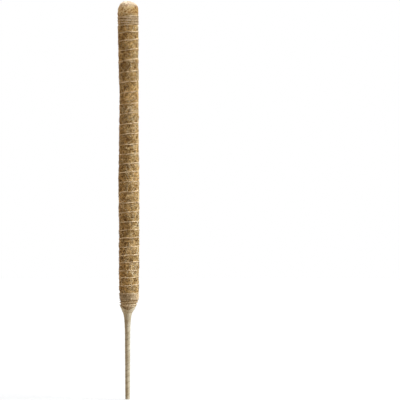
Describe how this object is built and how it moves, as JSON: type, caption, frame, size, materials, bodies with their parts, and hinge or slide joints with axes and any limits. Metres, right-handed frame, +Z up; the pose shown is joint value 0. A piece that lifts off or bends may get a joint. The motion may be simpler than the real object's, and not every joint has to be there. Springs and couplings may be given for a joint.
{
  "type": "moss pole",
  "caption": "Slim upright plant support: a coir sleeve bound with twine on a bendable wire core, with a tape-wrapped stake that is pushed into the potting soil.",
  "frame": {"origin": "centre of the stake's cut lower end", "axes": "+Z up along the straight pole, from the stake to the domed top; +X to the right in the picture and in the plane that the pole bends in; +Y away from the viewer"},
  "size_m": [0.0346, 0.0346, 0.61],
  "materials": {
    "coir": "matted coconut fibre",
    "twine": "plain twisted cotton",
    "tape": "waxed crepe tape",
    "wire": "soft drawn wire"
  },
  "bodies": {
    "stake": {"stake_wire": "wire", "stake_tape": "tape", "coir_base": "coir", "base_binding": "twine"},
    "length_01": {"wire_01": "wire", "coir_01": "coir", "twine_01": "twine"},
    "length_02": {"wire_02": "wire", "coir_02": "coir", "twine_02": "twine"},
    "length_03": {"wire_03": "wire", "coir_03": "coir", "twine_03": "twine"},
    "length_04": {"wire_04": "wire", "coir_04": "coir", "twine_04": "twine"},
    "length_05": {"wire_05": "wire", "coir_05": "coir", "twine_05": "twine"},
    "length_06": {"wire_06": "wire", "coir_06": "coir", "twine_06": "twine"},
    "length_07": {"wire_07": "wire", "coir_07": "coir", "twine_07": "twine"},
    "length_08": {"wire_08": "wire", "coir_08": "coir", "twine_08": "twine"},
    "length_09": {"wire_09": "wire", "coir_09": "coir", "twine_09": "twine"},
    "length_10": {"wire_10": "wire", "coir_10": "coir", "twine_10": "twine"},
    "length_11": {"wire_11": "wire", "coir_11": "coir", "twine_11": "twine"},
    "length_12": {"wire_12": "wire", "coir_12": "coir", "twine_12": "twine"},
    "tip": {"wire_tip": "wire", "coir_tip": "coir", "tip_binding": "twine"}
  },
  "joints": [
    {"name": "bend_01", "type": "hinge", "parent": "stake", "child": "length_01", "pos_m": [0, 0, 0.2005], "axis": [0, -1, 0], "range_deg": [-28, 28]},
    {"name": "bend_02", "type": "hinge", "parent": "length_01", "child": "length_02", "pos_m": [0, 0, 0.2297], "axis": [0, -1, 0], "range_deg": [-28, 28]},
    {"name": "bend_03", "type": "hinge", "parent": "length_02", "child": "length_03", "pos_m": [0, 0, 0.2589], "axis": [0, 1, 0], "range_deg": [-28, 28]},
    {"name": "bend_04", "type": "hinge", "parent": "length_03", "child": "length_04", "pos_m": [0, 0, 0.2881], "axis": [0, 1, 0], "range_deg": [-28, 28]},
    {"name": "bend_05", "type": "hinge", "parent": "length_04", "child": "length_05", "pos_m": [0, 0, 0.3173], "axis": [0, 1, 0], "range_deg": [-28, 28]},
    {"name": "bend_06", "type": "hinge", "parent": "length_05", "child": "length_06", "pos_m": [0, 0, 0.3465], "axis": [0, 1, 0], "range_deg": [-28, 28]},
    {"name": "bend_07", "type": "hinge", "parent": "length_06", "child": "length_07", "pos_m": [0, 0, 0.3757], "axis": [0, -1, 0], "range_deg": [-28, 28]},
    {"name": "bend_08", "type": "hinge", "parent": "length_07", "child": "length_08", "pos_m": [0, 0, 0.4049], "axis": [0, -1, 0], "range_deg": [-28, 28]},
    {"name": "bend_09", "type": "hinge", "parent": "length_08", "child": "length_09", "pos_m": [0, 0, 0.4341], "axis": [0, -1, 0], "range_deg": [-28, 28]},
    {"name": "bend_10", "type": "hinge", "parent": "length_09", "child": "length_10", "pos_m": [0, 0, 0.4633], "axis": [0, -1, 0], "range_deg": [-28, 28]},
    {"name": "bend_11", "type": "hinge", "parent": "length_10", "child": "length_11", "pos_m": [0, 0, 0.4925], "axis": [0, 1, 0], "range_deg": [-28, 28]},
    {"name": "bend_12", "type": "hinge", "parent": "length_11", "child": "length_12", "pos_m": [0, 0, 0.5217], "axis": [0, 1, 0], "range_deg": [-28, 28]},
    {"name": "bend_13", "type": "hinge", "parent": "length_12", "child": "tip", "pos_m": [0, 0, 0.5509], "axis": [0, 1, 0], "range_deg": [-28, 28]}
  ]
}
